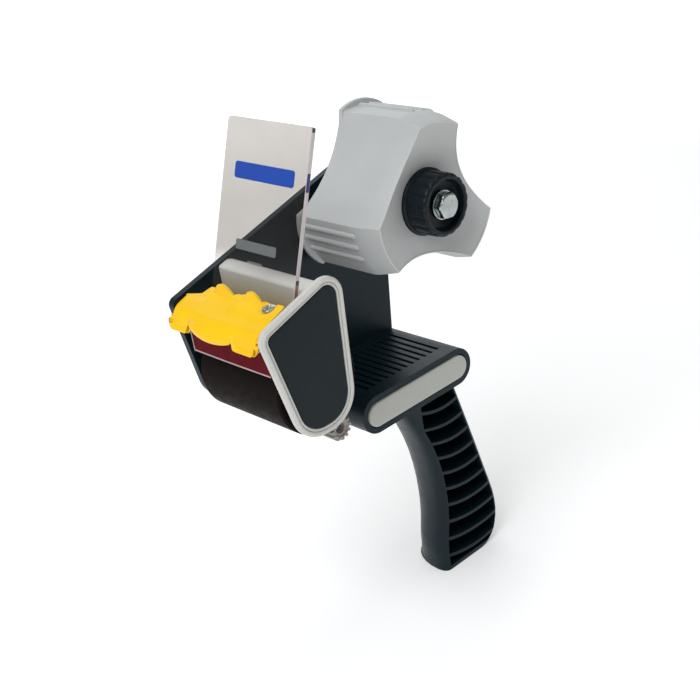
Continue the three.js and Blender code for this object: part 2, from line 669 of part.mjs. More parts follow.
function rollHub() {
  const dish = turned(0, 0, [[0, -1], [32.7, -1], [32.2, 0], [27, 2], [21.5, 4.2], [17.5, 5.6], [14.6, 6.4],
    [14.6, 7], [hub.pocket, 7], [hub.pocket, hub.pocketDepth], [0, hub.pocketDepth]], 42);
  const ears = [];
  const ribs = [];
  for (let lobe = 0; lobe < 3; lobe += 1) {
    const middle = hub.firstLobe + lobe * 120;
    const [x, z] = polar(hub.earReach - hub.earRadius, middle);
    const lobeSlice = block(hub.tube, 0, -hub.earWidth / 2, hub.radius * 2, hub.length, hub.earWidth / 2);
    const ear = bar(x, z, hub.earRadius, hub.length - hub.earThickness, hub.length, 44);
    ears.push(ear.intersect(lobeSlice.rotate([0, -middle, 0])));
    for (const offset of [-13, -5, 4]) {
      const rib = block(hub.radius - 1, 12, -1, hub.radius + hub.ribHeight, hub.length - 1, 1);
      ribs.push(rib.rotate([0, -(middle + offset), 0]));
    }
  }
  const hollowSection = prism(hubSection(hub.wall), 20, hub.length + 1, 6);
  const hollow = cut(hollowSection, bar(0, 0, hub.tube, 19, hub.length + 2, 40));
  return cut(join(hubBody(), ...ears, ...ribs), dish, hollow,
    bar(0, 0, axle.sleeve + fit, 0, hub.length + 1, 32));
}

const washer = (inner, outer, y0, y1, segments = 24) => cut(bar(0, 0, outer, y0, y1, segments),
  bar(0, 0, inner, y0 - 1, y1 + 1, segments));

function tensionKnob() {
  const { flange, body, front, back, recess, floor, flutes } = knob;
  const blank = turned(0, 0, [[0, front], [body - 1.4, front], [body - 0.5, front + 0.6], [body, back - 2],
    [flange, back - 1.6], [flange, back], [0, back]], 48);
  const cuts = [];
  for (let flute = 0; flute < flutes; flute += 1) {
    const [x, z] = polar(body + 2.1, flute * 360 / flutes + 8);
    cuts.push(bar(x, z, 2.6, front - 1, back - 2.4, 12));
  }
  const well = turned(0, 0, [[0, front - 1], [recess + 0.4, front - 1], [recess, floor], [0, floor]], 32);
  return cut(blank, well, bar(0, 0, axle.radius + fit, front, back + 1, 24), ...cuts);
}

function axleBolt() {
  const { radius, head, headHeight, headTop } = axle;
  const hex = prism(hexagon(0, 0, head, -6), headTop, headTop + headHeight);
  const crown = turned(0, 0, [[0, headTop - 1], [3.6, headTop - 1], [7, headTop + 1], [7, headTop + headHeight + 1],
    [0, headTop + headHeight + 1]], 36);
  return join(hex.intersect(crown), bar(0, 0, radius, headTop + 1, plateOuter - 0.5, 24));
}

const seat = axle.headTop + axle.headHeight;

function lockWasher() {
  const ring = washer(axle.radius + fit, 5, seat + 2 * fit + 0.6, knob.floor - fit);
  return cut(ring, block(-0.6, seat, 0, 0.6, knob.floor, 7));
}

// ---------------------------------------------------------------------------------------------
// Assembly
// ---------------------------------------------------------------------------------------------

const pieces = [
  ['main_frame', mainFrame(), navyPlastic],
  ['tray_end_panel', trayEndPanel(), greyPlastic],
  ['side_cover', sideCover(), greyPlastic],
  ['side_panel', sidePanel(), navyPlastic],
  ['cover_screw', countersunkScrew(screws.cover.x, screws.cover.z, screws.cover.radius, screws.cover.head, 38), zincSteel],
  ['head_block', headBlock(), blackPlastic],
  ['block_screw', countersunkScrew(screws.block.x, screws.block.z, screws.block.radius, screws.block.head, 39.5), zincSteel],
  ['cutting_blade', cuttingBlade(), brightSteel],
  ...bladeScrewPlaces.map((y, index) => [`blade_screw_${index + 1}`, bladeScrew(y), zincSteel]),
  ['blade_guard', bladeGuard(), yellowPlastic],
  ['guard_screw', guardScrewBody(), zincSteel],
  ['guard_pivot_pin', bar(pin.x, pin.z, pin.radius, rimRecess + 0.1, plateOuter - 0.2, 20), brightSteel],
  ['guard_spring', coil(pin.x, pin.z, 1.95, 0.6, 14, 22, 5), brightSteel],
  ['clear_shield', flatShield(), clearSheet],
  ['shield_clamp', shieldClamp(), blackPlastic],
  ...clampScrewPlaces.map((y, index) => [`clamp_screw_${index + 1}`, clampScrew(y), zincSteel]),
  ['wiper_flap', wiperFlap(), redRubber],
  ['roller_sleeve', rollerSleeve(), brownRubber],
  ['roller_core', rollerCore(), blackPlastic],
  ['roller_axle', rollerAxle(), brightSteel],
  ['roller_screw', countersunkScrew(roller.x, roller.z, screws.roller.radius, screws.roller.head, 39), zincSteel],
  ['guide_roller', guideRoller(), greyPlastic],
  ['guide_axle', guideAxle(), brightSteel],
  ['roll_hub', rollHub(), hubPlastic],
  ['tension_knob', tensionKnob(), navyPlastic],
  ['axle_bolt', axleBolt(), zincSteel],
  ['lock_washer', lockWasher(), zincSteel],
  ['flat_washer', washer(axle.radius + fit, 5.9, seat + fit, seat + fit + 0.6), zincSteel],
  ['axle_sleeve', washer(axle.radius + fit, axle.sleeve, 9, hub.length + 0.1), brightSteel],
  ['brake_spring', coil(0, 0, 8, 1.4, knob.back + 1, 13.6, 3), brightSteel],
  ['pressure_washer', washer(axle.sleeve + fit, 10.6, 14.7, 16.1), zincSteel],
  ['friction_washer', washer(axle.sleeve + fit, 10.6, 16.4, 17.7), fibre],
  ['axle_nut', cut(prism(hexagon(0, 0, axle.head, 30), lane.far - 1.5, plateOuter - 0.3),
    bar(0, 0, axle.radius + fit, 40, 60, 24)), zincSteel],
];

const dispenser = new THREE.Group();
for (const [name, body, material] of pieces) {
  dispenser.add(meshOf(name, body, material));
}

// The origin moves from the roll axis to the middle of the handle's flat end.
dispenser.scale.setScalar(fullSize);
dispenser.position.set(-grip.endMiddle.x, -grip.endMiddle.y, -grip.end).multiplyScalar(fullSize);

export default dispenser;
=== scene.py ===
"""Looks of the hand-held tape dispenser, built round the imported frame. Metres, in the row frame."""

import json
import math

import bmesh
import bpy
import numpy as np
from mathutils import Matrix, Vector

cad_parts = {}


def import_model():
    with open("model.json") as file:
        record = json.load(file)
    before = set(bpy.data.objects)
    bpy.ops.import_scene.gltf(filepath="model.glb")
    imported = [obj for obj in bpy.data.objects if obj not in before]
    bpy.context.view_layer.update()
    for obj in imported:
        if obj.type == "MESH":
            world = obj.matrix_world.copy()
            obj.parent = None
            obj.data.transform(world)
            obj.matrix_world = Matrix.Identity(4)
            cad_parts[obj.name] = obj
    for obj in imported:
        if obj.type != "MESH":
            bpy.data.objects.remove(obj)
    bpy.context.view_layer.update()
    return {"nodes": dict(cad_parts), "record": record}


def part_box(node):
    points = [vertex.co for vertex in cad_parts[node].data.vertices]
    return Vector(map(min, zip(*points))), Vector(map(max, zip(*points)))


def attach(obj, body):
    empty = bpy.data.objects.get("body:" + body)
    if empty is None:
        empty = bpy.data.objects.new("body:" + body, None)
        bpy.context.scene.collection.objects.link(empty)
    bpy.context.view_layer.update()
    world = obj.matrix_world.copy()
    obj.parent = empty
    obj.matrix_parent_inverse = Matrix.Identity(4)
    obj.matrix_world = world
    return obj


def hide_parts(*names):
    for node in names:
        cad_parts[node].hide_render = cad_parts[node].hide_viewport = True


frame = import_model()
NODES = frame["nodes"]

UNIT = 0.00105                            # one drawing unit: the drawing is 1.05 times smaller than the part
ORIGIN = Vector((-4.2, 20.0, -170.5))     # the row's origin, seen from the roll axis, in drawing units

TILT = math.radians(69)                   # the clear shield's lean from level
METAL_EDGE = 0.0003                       # how far edges look rounded, in metres
RUBBER_EDGE = 0.0005


def at(x, y, z):
    """A point given from the roll axis in drawing units, in the row frame in metres."""
    return (Vector((x, y, z)) - ORIGIN) * UNIT


# ------------------------------------------------------------------------------------------ materials

class Graph:
    """A material's node tree, with short calls for the nodes it is made of."""

    def __init__(self, name):
        self.material = bpy.data.materials.new(name)
        self.material.use_nodes = True
        self.tree = self.material.node_tree
        self.shader = self.tree.nodes["Principled BSDF"]
        self.place = self.add("ShaderNodeTexCoord").outputs["Object"]

    def add(self, kind, **values):
        node = self.tree.nodes.new(kind)
        for key, value in values.items():
            setattr(node, key, value)
        return node

    def link(self, out, socket):
        self.tree.links.new(out, socket)

    def noise(self, scale, detail=3.0, roughness=0.55, stretch=None):
        node = self.add("ShaderNodeTexNoise")
        node.inputs["Scale"].default_value = scale
        node.inputs["Detail"].default_value = detail
        node.inputs["Roughness"].default_value = roughness
        place = self.place
        if stretch:
            mapping = self.add("ShaderNodeMapping")
            mapping.inputs["Scale"].default_value = stretch
            self.link(place, mapping.inputs["Vector"])
            place = mapping.outputs["Vector"]
        self.link(place, node.inputs["Vector"])
        return node.outputs["Fac"]

    def remap(self, value, low, high, to_low, to_high):
        node = self.add("ShaderNodeMapRange", clamp=True)
        for socket, number in zip(("From Min", "From Max", "To Min", "To Max"), (low, high, to_low, to_high)):
            node.inputs[socket].default_value = number
        self.link(value, node.inputs["Value"])
        return node.outputs["Result"]

    def mix(self, factor, one, two):
        node = self.add("ShaderNodeMix", data_type="RGBA")
        for socket, value in ((node.inputs[0], factor), (node.inputs[6], one), (node.inputs[7], two)):
            if hasattr(value, "is_linked"):
                self.link(value, socket)
            elif isinstance(value, (int, float)):
                socket.default_value = value
            else:
                socket.default_value = (*value, 1.0)
        return node.outputs[2]

    def maths(self, operation, one, two):
        node = self.add("ShaderNodeMath", operation=operation)
        for socket, value in zip(node.inputs, (one, two)):
            if hasattr(value, "is_linked"):
                self.link(value, socket)
            else:
                socket.default_value = value
        return node.outputs[0]

    def bump(self, height, distance, strength=1.0, normal=None):
        node = self.add("ShaderNodeBump")
        node.inputs["Strength"].default_value = strength
        node.inputs["Distance"].default_value = distance
        self.link(height, node.inputs["Height"])
        if normal is not None:
            self.link(normal, node.inputs["Normal"])
        return node.outputs["Normal"]

    def rounded(self, radius):
        node = self.add("ShaderNodeBevel", samples=4)
        node.inputs["Radius"].default_value = radius
        return node.outputs["Normal"]


def linear(red, green, blue):
    """An 8-bit screen colour as linear light."""
    return tuple(((c / 255 + 0.055) / 1.055) ** 2.4 if c > 10 else c / 255 / 12.92 for c in (red, green, blue))


def plastic(name, colour, rough, grain=0.00004, grain_scale=1400.0, edge=0.0004, edge_tint=None, scatter=0.0,
            gloss=0.5):
    """Moulded plastic: spark-eroded grain, slow tint changes, faint scuffs, and edges lighter in patches: partly
    rubbed wear, partly a painted highlight.
    """
    g = Graph(name)
    base = linear(*colour)
    cloudy = g.noise(35.0, 4.0)
    light = tuple(min(1.0, c * 1.03 + 0.0005) for c in base)
    dark = tuple(c * 0.97 for c in base)
    g.shader.inputs["Specular IOR Level"].default_value = gloss
    tint = g.mix(g.remap(cloudy, 0.35, 0.65, 0.0, 1.0), dark, light)
    normal = g.rounded(edge)
    # Edges drawn lighter in patches: partly rubbed wear, partly a painted highlight along the bent edges.
    if edge_tint:
        geometry = g.add("ShaderNodeNewGeometry")
        edge_bend = g.add("ShaderNodeVectorMath", operation="DOT_PRODUCT")
        g.link(normal, edge_bend.inputs[0])
        g.link(geometry.outputs["True Normal"], edge_bend.inputs[1])
        rubbed = g.remap(edge_bend.outputs["Value"], 0.80, 0.99, 1.0, 0.0)
        patchy = g.remap(g.noise(160.0, 5.0, 0.7), 0.42, 0.62, 0.0, 0.75)
        tint = g.mix(g.maths("MULTIPLY", rubbed, patchy), tint, linear(*edge_tint))
    g.link(tint, g.shader.inputs["Base Color"])
    scuffs = g.noise(90.0, 6.0, 0.75, stretch=(1.0, 1.0, 3.5))
    g.link(g.remap(scuffs, 0.3, 0.72, rough - 0.06, rough + 0.10), g.shader.inputs["Roughness"])
    fine = g.bump(g.noise(grain_scale, 2.0, 0.6), grain, 1.0, normal)
    g.link(g.bump(g.noise(60.0, 3.0), 0.00003, 0.4, fine), g.shader.inputs["Normal"])
    if scatter:
        g.shader.inputs["Subsurface Weight"].default_value = scatter
        g.shader.inputs["Subsurface Radius"].default_value = (0.0015, 0.0010, 0.0006)
    return g.material


def metal(name, colour, rough, brushed=(1.0, 1.0, 12.0), spots=0.0):
    """Plated or ground steel: fine scratches, cloudy plating and a little tarnish."""
    g = Graph(name)
    base = linear(*colour)
    cloudy = g.remap(g.noise(180.0, 4.0), 0.35, 0.65, 0.0, 1.0)
    tint = g.mix(cloudy, tuple(c * 0.82 for c in base), tuple(min(1.0, c * 1.08) for c in base))
    if spots:
        tint = g.mix(g.remap(g.noise(420.0, 5.0), 0.60, 0.75, 0.0, spots), tint, linear(95, 88, 76))
    g.link(tint, g.shader.inputs["Base Color"])
    g.shader.inputs["Metallic"].default_value = 1.0
    lines = g.noise(900.0, 3.0, 0.6, stretch=brushed)
    g.link(g.remap(lines, 0.3, 0.7, rough - 0.07, rough + 0.12), g.shader.inputs["Roughness"])
    g.link(g.bump(lines, 0.00002, 0.6, g.rounded(METAL_EDGE)), g.shader.inputs["Normal"])
    return g.material


def rubber(name, colour, rough):
    """Moulded rubber with a fine matt skin, dust in the low spots and rubbed streaks."""
    g = Graph(name)
    base = linear(*colour)
    dusty = g.remap(g.noise(140.0, 6.0, 0.7), 0.4, 0.75, 0.0, 0.35)
    pale = tuple(c * 1.2 + 0.001 for c in base)
    g.shader.inputs["Specular IOR Level"].default_value = 0.03
    g.link(g.mix(dusty, base, pale), g.shader.inputs["Base Color"])
    g.link(g.remap(g.noise(260.0, 4.0), 0.3, 0.7, rough - 0.08, rough + 0.1), g.shader.inputs["Roughness"])
    fine = g.bump(g.noise(1800.0, 3.0, 0.7), 0.00003, 1.0, g.rounded(RUBBER_EDGE))
    g.link(g.bump(g.noise(120.0, 2.0), 0.00008, 0.4, fine), g.shader.inputs["Normal"])
    return g.material


def clear(name):
    """Clear polyester sheet: see-through faces that mirror a little, and cut edges that catch light."""
    g = Graph(name)
    output = g.tree.nodes["Material Output"]
    geometry = g.add("ShaderNodeNewGeometry")
    facing = g.add("ShaderNodeVectorMath", operation="DOT_PRODUCT")
    facing.inputs[1].default_value = (-math.sin(TILT), 0.0, math.cos(TILT))
    g.link(geometry.outputs["Normal"], facing.inputs[0])
    broad = g.remap(g.maths("ABSOLUTE", facing.outputs["Value"], 0.0), 0.80, 0.95, 0.0, 1.0)
    front = g.maths("SUBTRACT", 1.0, geometry.outputs["Backfacing"])
    seen_through = g.maths("MAXIMUM", broad, geometry.outputs["Backfacing"])
    height = g.add("ShaderNodeSeparateXYZ")
    g.link(g.place, height.inputs[0])
    upper = g.remap(height.outputs["Z"], at(0, 0, -3).z, at(0, 0, 3.5).z, 0.0, 1.0)
    lower = g.remap(height.outputs["Z"], at(0, 0, -13).z, at(0, 0, -4).z, 0.0, 1.0)

    through = g.add("ShaderNodeBsdfTransparent")
    cloudy = g.remap(g.noise(60.0, 3.0), 0.35, 0.65, 0.0, 1.0)
    open_tint = g.mix(cloudy, (0.735, 0.715, 0.695), (0.75, 0.73, 0.71))
    # The sheet is clearer towards its foot and tinted warm yellow there: a painted reflection of the yellow guard
    # and of its yellow bounce light on the wall behind.
    guard_reflection_tint = g.mix(lower, (1.0, 0.93, 0.74), (0.98, 0.98, 0.98))
    g.link(g.mix(upper, guard_reflection_tint, open_tint), through.inputs["Color"])
    mirror = g.add("ShaderNodeBsdfGlossy")
    mirror.inputs["Color"].default_value = (0.95, 0.95, 0.95, 1.0)
    streaks = g.noise(300.0, 5.0, 0.7, stretch=(1.0, 6.0, 1.0))
    g.link(g.remap(streaks, 0.5, 0.8, 0.04, 0.16), mirror.inputs["Roughness"])
    bent = g.add("ShaderNodeFresnel")
    bent.inputs["IOR"].default_value = 1.5
    face = g.add("ShaderNodeMixShader")
    g.link(g.maths("MULTIPLY", g.maths("MULTIPLY", bent.outputs[0], 0.55), front), face.inputs[0])
    g.link(through.outputs[0], face.inputs[1])
    g.link(mirror.outputs[0], face.inputs[2])

    # The cut edges get this opaque pinkish grey: a painted highlight for the light they catch.
    g.shader.inputs["Roughness"].default_value = 0.3
    g.link(g.mix(cloudy, (0.50, 0.44, 0.45), (0.62, 0.56, 0.56)), g.shader.inputs["Base Color"])
    g.link(g.bump(g.noise(500.0, 3.0, 0.6, stretch=(1.0, 8.0, 1.0)), 0.00001, 0.5), g.shader.inputs["Normal"])
    blend = g.add("ShaderNodeMixShader")
    scuffed = g.remap(g.noise(120.0, 6.0, 0.7, stretch=(1.0, 3.0, 1.0)), 0.45, 0.75, 0.995, 0.982)
    g.link(g.maths("MULTIPLY", seen_through, scuffed), blend.inputs[0])
    g.link(g.shader.outputs[0], blend.inputs[1])
    g.link(face.outputs[0], blend.inputs[2])
    g.link(blend.outputs[0], output.inputs["Surface"])
    return g.material


# edge_tint gives a plastic its lighter edge colour: partly wear, partly a painted highlight.
navy = plastic("navy_moulded", (17, 34, 41), 0.36, edge_tint=(56, 68, 74), gloss=0.18)
panel_navy = plastic("navy_panel", (34, 43, 46), 0.50, grain=0.00006, grain_scale=1100.0, gloss=0.10)
grey = plastic("light_grey_moulded", (207, 206, 201), 0.40, edge_tint=(228, 228, 226), scatter=0.04,
               gloss=0.35)
hub_grey = plastic("hub_grey_moulded", (190, 192, 192), 0.45, edge_tint=(214, 213, 208), scatter=0.04,
                   gloss=0.3)
# A paler grey for the hub's fine edge lines: a painted highlight.
hub_highlight_grey = plastic("hub_grey_painted_highlight", (206, 205, 200), 0.40, grain=0.00002, gloss=0.35)
guide_grey = plastic("guide_roller_grey", (168, 163, 158), 0.5, edge=0.0002, gloss=0.25)
panel_grey = plastic("end_panel_grey", (182, 183, 177), 0.45, grain=0.00006, gloss=0.35)
yellow = plastic("yellow_moulded", (255, 202, 18), 0.32, grain=0.00002, edge=0.0006, edge_tint=(255, 222, 110),
                 scatter=0.03, gloss=0.25)
black = plastic("black_moulded", (22, 24, 26), 0.45, edge_tint=(54, 56, 58), gloss=0.25)
knob_navy = plastic("knob_moulded", (13, 23, 29), 0.32, grain=0.00003, edge_tint=(48, 60, 66), gloss=0.20)
zinc = metal("zinc_plated_steel", (180, 188, 186), 0.24, spots=0.4)
bright = metal("ground_steel", (206, 209, 211), 0.20, brushed=(14.0, 1.0, 14.0))
roller_rubber = rubber("brown_black_rubber", (24, 18, 16), 0.5)
wiper_rubber = rubber("burgundy_rubber", (96, 2, 18), 0.38)
fibre = plastic("pressed_fibre", (112, 78, 56), 0.7, grain=0.00008, grain_scale=600.0)
sheet = clear("clear_polyester")
print_blue = plastic("blue_print", (36, 74, 168), 0.35, grain=0.00001, gloss=0.2)
# The violet, brown and dark edge colours below are painted reflections in the sheet's near cut edge.
bar_reflection_violet = plastic("bar_reflection_in_edge", (72, 62, 128), 0.35, grain=0.00001, gloss=0.2)
print_pale = plastic("pale_print", (104, 109, 110), 0.4, grain=0.00001, gloss=0.2)
edge_reflection_brown = plastic("sheet_edge_brown", (150, 124, 112), 0.4, grain=0.00001, gloss=0.3)
edge_reflection_dark = plastic("sheet_edge_dark", (66, 66, 72), 0.4, grain=0.00001, gloss=0.3)
wiper_pale_strip = rubber("wiper_pale_strip_rubber", (192, 168, 168), 0.5)


# ------------------------------------------------------------------------------------------ mesh tools

def smooth(low, high, value):
    """0 below low, 1 above high, and an S-shaped step between them."""
    t = min(max((value - low) / (high - low), 0.0), 1.0)
    return t * t * (3 - 2 * t)


def mesh_object(name, points, faces, material, sharp=32.0):
    """A mesh piece from drawing-unit points, welded, smooth-shaded up to an angle, facing out."""
    bm = bmesh.new()
    corners = [bm.verts.new(at(*p)) for p in points]
    for face in faces:
        try:
            bm.faces.new([corners[k] for k in face])
        except ValueError:
            continue
    return from_bmesh(name, bm, material, sharp)


def from_bmesh(name, bm, material, sharp=32.0, weld=0.000004):
    bmesh.ops.remove_doubles(bm, verts=bm.verts, dist=weld)
    bmesh.ops.dissolve_degenerate(bm, edges=bm.edges, dist=weld)
    bmesh.ops.recalc_face_normals(bm, faces=bm.faces)
    limit = math.radians(sharp)
    for edge in bm.edges:
        edge.smooth = len(edge.link_faces) == 2 and edge.calc_face_angle(0.0) < limit
    for face in bm.faces:
        face.smooth = True
    mesh = bpy.data.meshes.new(name)
    bm.to_mesh(mesh)
    bm.free()
    mesh.materials.append(material)
    piece = bpy.data.objects.new(name, mesh)
    bpy.context.scene.collection.objects.link(piece)
    return piece


def bevelled(piece, width, segments=3, angle=35.0):
    """Rounds a piece's sharp edges in its own mesh."""
    rounding = piece.modifiers.new("rounding", "BEVEL")
    rounding.width = width * UNIT
    rounding.segments = segments
    rounding.limit_method = "ANGLE"
    rounding.angle_limit = math.radians(angle)
    rounding.harden_normals = True
    return piece


def rings(loops, closed=True):
    """Faces between neighbouring loops of equal length. closed joins the last loop to the first."""
    count = len(loops[0])
    faces = []
    for a in range(len(loops) if closed else len(loops) - 1):
        b = (a + 1) % len(loops)
        for k in range(count):
            m = (k + 1) % count
            faces.append((a * count + k, a * count + m, b * count + m, b * count + k))
    return faces


def loft(name, loops, material, closed=True, caps=False, sharp=32.0):
    faces = rings(loops, closed)
    if caps:
        count = len(loops[0])
        faces.append(tuple(range(count)))
        faces.append(tuple(range((len(loops) - 1) * count, len(loops) * count))[::-1])
    return mesh_object(name, [p for loop in loops for p in loop], faces, material, sharp)


def spun(name, x, z, profile, material, segments=96, radius_at=None, sharp=32.0):
    """A body turned about a line along Y. radius_at(row, radius, angle) may vary the radius round it."""
    loops = []
    for row, (radius, y) in enumerate(profile):
        loop = []
        for k in range(segments):
            angle = 2 * math.pi * k / segments
            r = radius_at(row, radius, angle) if radius_at else radius
            loop.append((x + r * math.cos(angle), y, z + r * math.sin(angle)))
        loops.append(loop)
    return loft(name, loops, material, closed=True, sharp=sharp)


def rounded_outline(corners, steps=10):
    """Points round an outline of [x, z, radius] corners, with the same count for any radii."""
    points = []
    for k, (x, z, radius) in enumerate(corners):
        here = Vector((x, z))
        back = (Vector(corners[k - 1][:2]) - here).normalized()
        ahead = (Vector(corners[(k + 1) % len(corners)][:2]) - here).normalized()
        half = math.acos(max(-1.0, min(1.0, back.dot(ahead)))) / 2
        radius = max(radius, 0.02)
        centre = here + (back + ahead).normalized() * radius / math.sin(half)
        first = here + back * radius / math.tan(half) - centre
        sweep = math.pi - 2 * half
        turn = -1.0 if back.x * ahead.y - back.y * ahead.x > 0 else 1.0
        for step in range(steps + 1):
            angle = turn * sweep * step / steps
            c, d = math.cos(angle), math.sin(angle)
            points.append((centre.x + first.x * c - first.y * d, centre.y + first.x * d + first.y * c))
    return points


def offset_corners(corners, distance):
    """The corners of a convex outline moved out by a distance, with their radii."""
    middle = sum((Vector(c[:2]) for c in corners), Vector((0, 0))) / len(corners)
    edges = []
    for k, corner in enumerate(corners):
        here, after = Vector(corner[:2]), Vector(corners[(k + 1) % len(corners)][:2])
        normal = Vector((after.y - here.y, here.x - after.x)).normalized()
        if normal.dot(here - middle) < 0:
            normal = -normal
        edges.append((normal, normal.dot(here) + distance))
    moved = []
    for k, corner in enumerate(corners):
        (m, p), (n, q) = edges[k - 1], edges[k]
        det = m.x * n.y - m.y * n.x
        moved.append(((p * n.y - q * m.y) / det, (m.x * q - n.x * p) / det, max(corner[2] + distance, 0.0)))
    return moved


def place(piece, body, slot, *nodes):
    """Puts a piece on its body, in place of its CAD nodes. The slot argument is not used."""
    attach(piece, body)
    if nodes:
        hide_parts(*nodes)
    return piece


BODY_OF = {node: body for body, nodes in frame["record"]["behaviour"]["bodies"].items() for node in nodes}
SLOT_OF = {entry["node"]: entry["material_slot"] for entry in frame["record"]["subparts"]}


def refined(node, material):
    """A node's shape as a welded, smooth-shaded piece, so its facets stop showing."""
    bm = bmesh.new()
    bm.from_mesh(NODES[node].data)
    piece = from_bmesh(node + "_moulding", bm, material, weld=0.00001)
    return place(piece, BODY_OF[node], SLOT_OF[node], node)


# ------------------------------------------------------------------------------------------ roll hub

HUB = {"radius": 35.1, "nose": 0.9145, "nose_length": 10.3, "length": 43.8, "half": 19.6, "first": 78.0,
       "side": 21.9, "wall": 2.6, "tube": 8.2, "pocket": 11.2, "bore": 5.3}
LOBE_STEPS = 22                           # points along each lobe of the section
SIDE_STEPS = 40                           # points along each hollow between two lobes


def hub_outline(inset=0.0):
    """The three-lobed section: arcs on the lobes and shallow hollows between them."""
    radius = HUB["radius"] - inset
    half = HUB["half"] - inset * 1.4
    points = []
    for lobe in range(3):
        middle = HUB["first"] + lobe * 120
        for step in range(LOBE_STEPS):
            angle = math.radians(middle - half + 2 * half * step / LOBE_STEPS)
            points.append(Vector((radius * math.cos(angle), radius * math.sin(angle))))
        start = math.radians(middle + half)
        end = math.radians(middle + 120 - half)
        reach = 2 * (HUB["side"] - inset) - radius * math.cos(math.pi / 3 - math.radians(half))
        through = math.radians(middle + 60)
        a = Vector((radius * math.cos(start), radius * math.sin(start)))
        b = Vector((reach * math.cos(through), reach * math.sin(through)))
        c = Vector((radius * math.cos(end), radius * math.sin(end)))
        for step in range(SIDE_STEPS):
            t = step / SIDE_STEPS
            points.append(a * (1 - t) ** 2 + b * 2 * t * (1 - t) + c * t * t)
    return points


def hub_dish(radius):
    """Depth of the open end's face below its lobe tips, at a distance from the axis."""
    return float(np.interp(radius, (14.6, 17.5, 21.5, 27.0, 32.2, 36.0), (6.5, 5.6, 4.2, 2.0, 0.0, -1.4)))


def hub_nose(y):
    return HUB["nose"] + (1 - HUB["nose"]) * smooth_knee(y / HUB["nose_length"])


def smooth_knee(t):
    """Rises straight from 0 to 1 and eases over at the top, as a moulded crease does."""
    if t <= 0.85:
        return t
    if t >= 1.15:
        return 1.0
    return 1.0 - (1.15 - t) ** 2 / 0.6


def ear_reach(point):
    """Distance from the axis to the outside of the rounded stop behind a lobe, or of the section beside it."""
    angle = math.degrees(math.atan2(point.y, point.x))
    off = math.radians(abs((angle - HUB["first"] + 60) % 120 - 60))
    reach = 37.7
    for _ in range(12):
        side = min(reach * math.sin(off), 21.0)
        reach = (15.7 + math.sqrt(22 ** 2 - side ** 2)) / math.cos(off)
    if reach * math.sin(off) > 12.6:
        reach = 12.6 / math.sin(off)
    return max(point.length, reach)


def hub_piece():
    outline = hub_outline()
    inner = hub_outline(HUB["wall"])

    def loop(points, y, scale=1.0):
        return [(p.x * scale, y, p.y * scale) for p in points]

    def circle(radius, y):
        return [(radius * p.x / p.length, y, radius * p.y / p.length) for p in outline]

    edge = []                              # where the tapered side meets the dished face
    for p in outline:
        y = 0.0
        for _ in range(12):
            y = hub_dish(p.length * hub_nose(y))
        edge.append(y)
    loops = []
    face_steps = 18
    for step in range(face_steps + 1):     # the face, from the knob's seat out to its edge
        t = step / face_steps
        ring = []
        for p, y in zip(outline, edge):
            rim = p.length * hub_nose(y) - 0.8
            r = 14.6 + (rim - 14.6) * t
            ring.append((p.x / p.length * r, hub_dish(r), p.y / p.length * r))
        loops.append(ring)
    for back, out in ((-0.02, 0.5), (0.07, 0.25), (0.22, 0.09), (0.45, 0.0)):    # a small rounded rim
        ring = []
        for p, y in zip(outline, edge):
            scale = hub_nose(y) * (1 - out / p.length)
            ring.append((p.x * scale, y + back, p.y * scale))
        loops.append(ring)
    for step in range(1, 9):               # up the taper
        t = step / 8
        loops.append([(p.x * hub_nose(level), level, p.y * hub_nose(level)) for p, level in
                      ((p, y + 0.45 + (13.0 - y - 0.45) * t) for p, y in zip(outline, edge))])
    for y in (20.0, 30.0, 41.6):
        loops.append(loop(outline, y))
    ears = [p * (ear_reach(p) / p.length) for p in outline]
    loops.append([(e.x + (p.x - e.x) * 0.1, 41.85, e.y + (p.y - e.y) * 0.1) for p, e in zip(outline, ears)])
    loops.append(loop(ears, 42.15))
    loops.append(loop(ears, 43.55))
    loops.append([(e.x * 0.993, 43.8, e.y * 0.993) for e in ears])
    loops.append(loop(inner, 43.8, 1.01))
    for y in (43.5, 36.0, 28.0, 20.6):
        loops.append(loop(inner, y))
    loops.append(loop(inner, 20.0, 0.98))
    loops.append(circle(HUB["tube"] + 0.6, 20.0))
    loops.append(circle(HUB["tube"], 20.6))
    loops.append(circle(HUB["tube"], 43.5))
    loops.append(circle(HUB["tube"] - 0.3, 43.8))
    loops.append(circle(HUB["bore"], 43.8))
    loops.append(circle(HUB["bore"], 18.0))
    loops.append(circle(HUB["pocket"], 18.0))
    loops.append(circle(HUB["pocket"], 6.6))
    loops.append(circle(14.4, 6.6))
    piece = loft("hub_shell", loops, hub_grey, closed=True, sharp=30.0)
    place(piece, "hub", "hub_plastic", "roll_hub")
    for lobe in range(3):
        for k, offset in enumerate((-13.0, -5.0, 4.0)):
            rib = hub_rib(f"hub_rib_{lobe + 1}_{k + 1}", HUB["first"] + lobe * 120 + offset)
            place(rib, "hub", "hub_plastic")


def hub_point(angle, y):
    """A point of the hub's side at an angle on a lobe, y along the axis."""
    radius = HUB["radius"] * hub_nose(y)
    return radius * math.cos(angle), radius * math.sin(angle)


